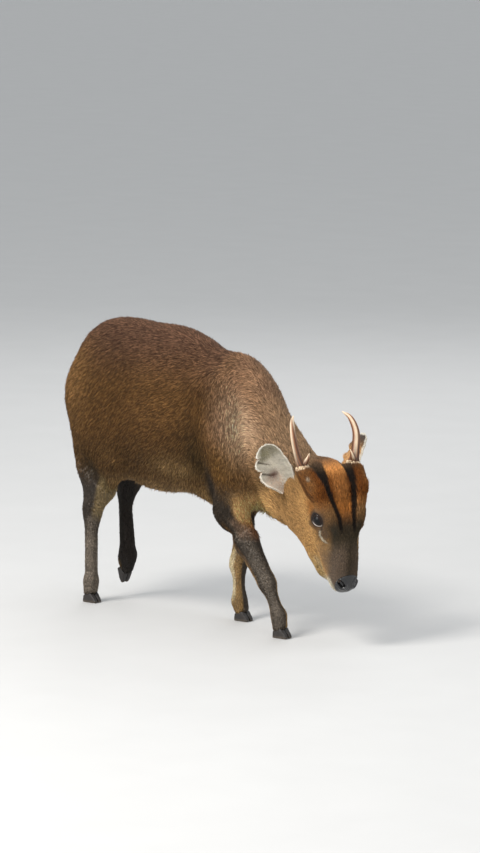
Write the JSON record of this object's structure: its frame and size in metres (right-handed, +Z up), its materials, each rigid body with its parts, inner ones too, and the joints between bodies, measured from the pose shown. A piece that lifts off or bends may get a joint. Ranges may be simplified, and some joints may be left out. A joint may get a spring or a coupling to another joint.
{
  "type": "muntjac",
  "caption": "Small brown deer buck with short antlers, shown life size in mid stride with its head lowered and one hind foot lifted.",
  "frame": {"origin": "middle of the footprint's bounding box, on the floor under the three standing feet", "axes": "+X the way the body faces, +Y the animal's left, +Z up"},
  "size_m": [0.6032, 0.1851, 0.4489],
  "materials": {
    "body_fur": "short dense chestnut-brown hair",
    "neck_fur": "short grey-brown hair",
    "face_fur": "very short orange-tan hair",
    "leg_fur": "short blackish-brown hair with a faint sheen",
    "ear_skin": "thin, pale and finely haired",
    "antler": "grooved brown at the foot and polished ivory at the tip",
    "hoof": "dark horn",
    "nose": "moist and black",
    "eye": "wet and almost black"
  },
  "bodies": {
    "root": {"hindquarters": "body_fur", "barrel": "body_fur", "shoulders": "body_fur", "neck": "neck_fur", "tail": "body_fur", "eye_left": "eye", "eye_right": "eye", "head": "face_fur", "nose_pad": "nose", "hind_right_shank": "leg_fur", "hind_right_cannon": "leg_fur", "hind_right_claw_left": "hoof", "hind_right_claw_right": "hoof", "hind_left_shank": "leg_fur", "hind_left_cannon": "leg_fur", "hind_left_claw_left": "hoof", "hind_left_claw_right": "hoof", "fore_right_forearm": "leg_fur", "fore_right_cannon": "leg_fur", "fore_right_claw_left": "hoof", "fore_right_claw_right": "hoof", "fore_left_forearm": "leg_fur", "fore_left_cannon": "leg_fur", "fore_left_claw_left": "hoof", "fore_left_claw_right": "hoof", "ear_right": "ear_skin", "ear_left": "ear_skin", "antler_left": "antler", "tine_left": "antler", "antler_right": "antler", "tine_right": "antler"}
  },
  "joints": []
}
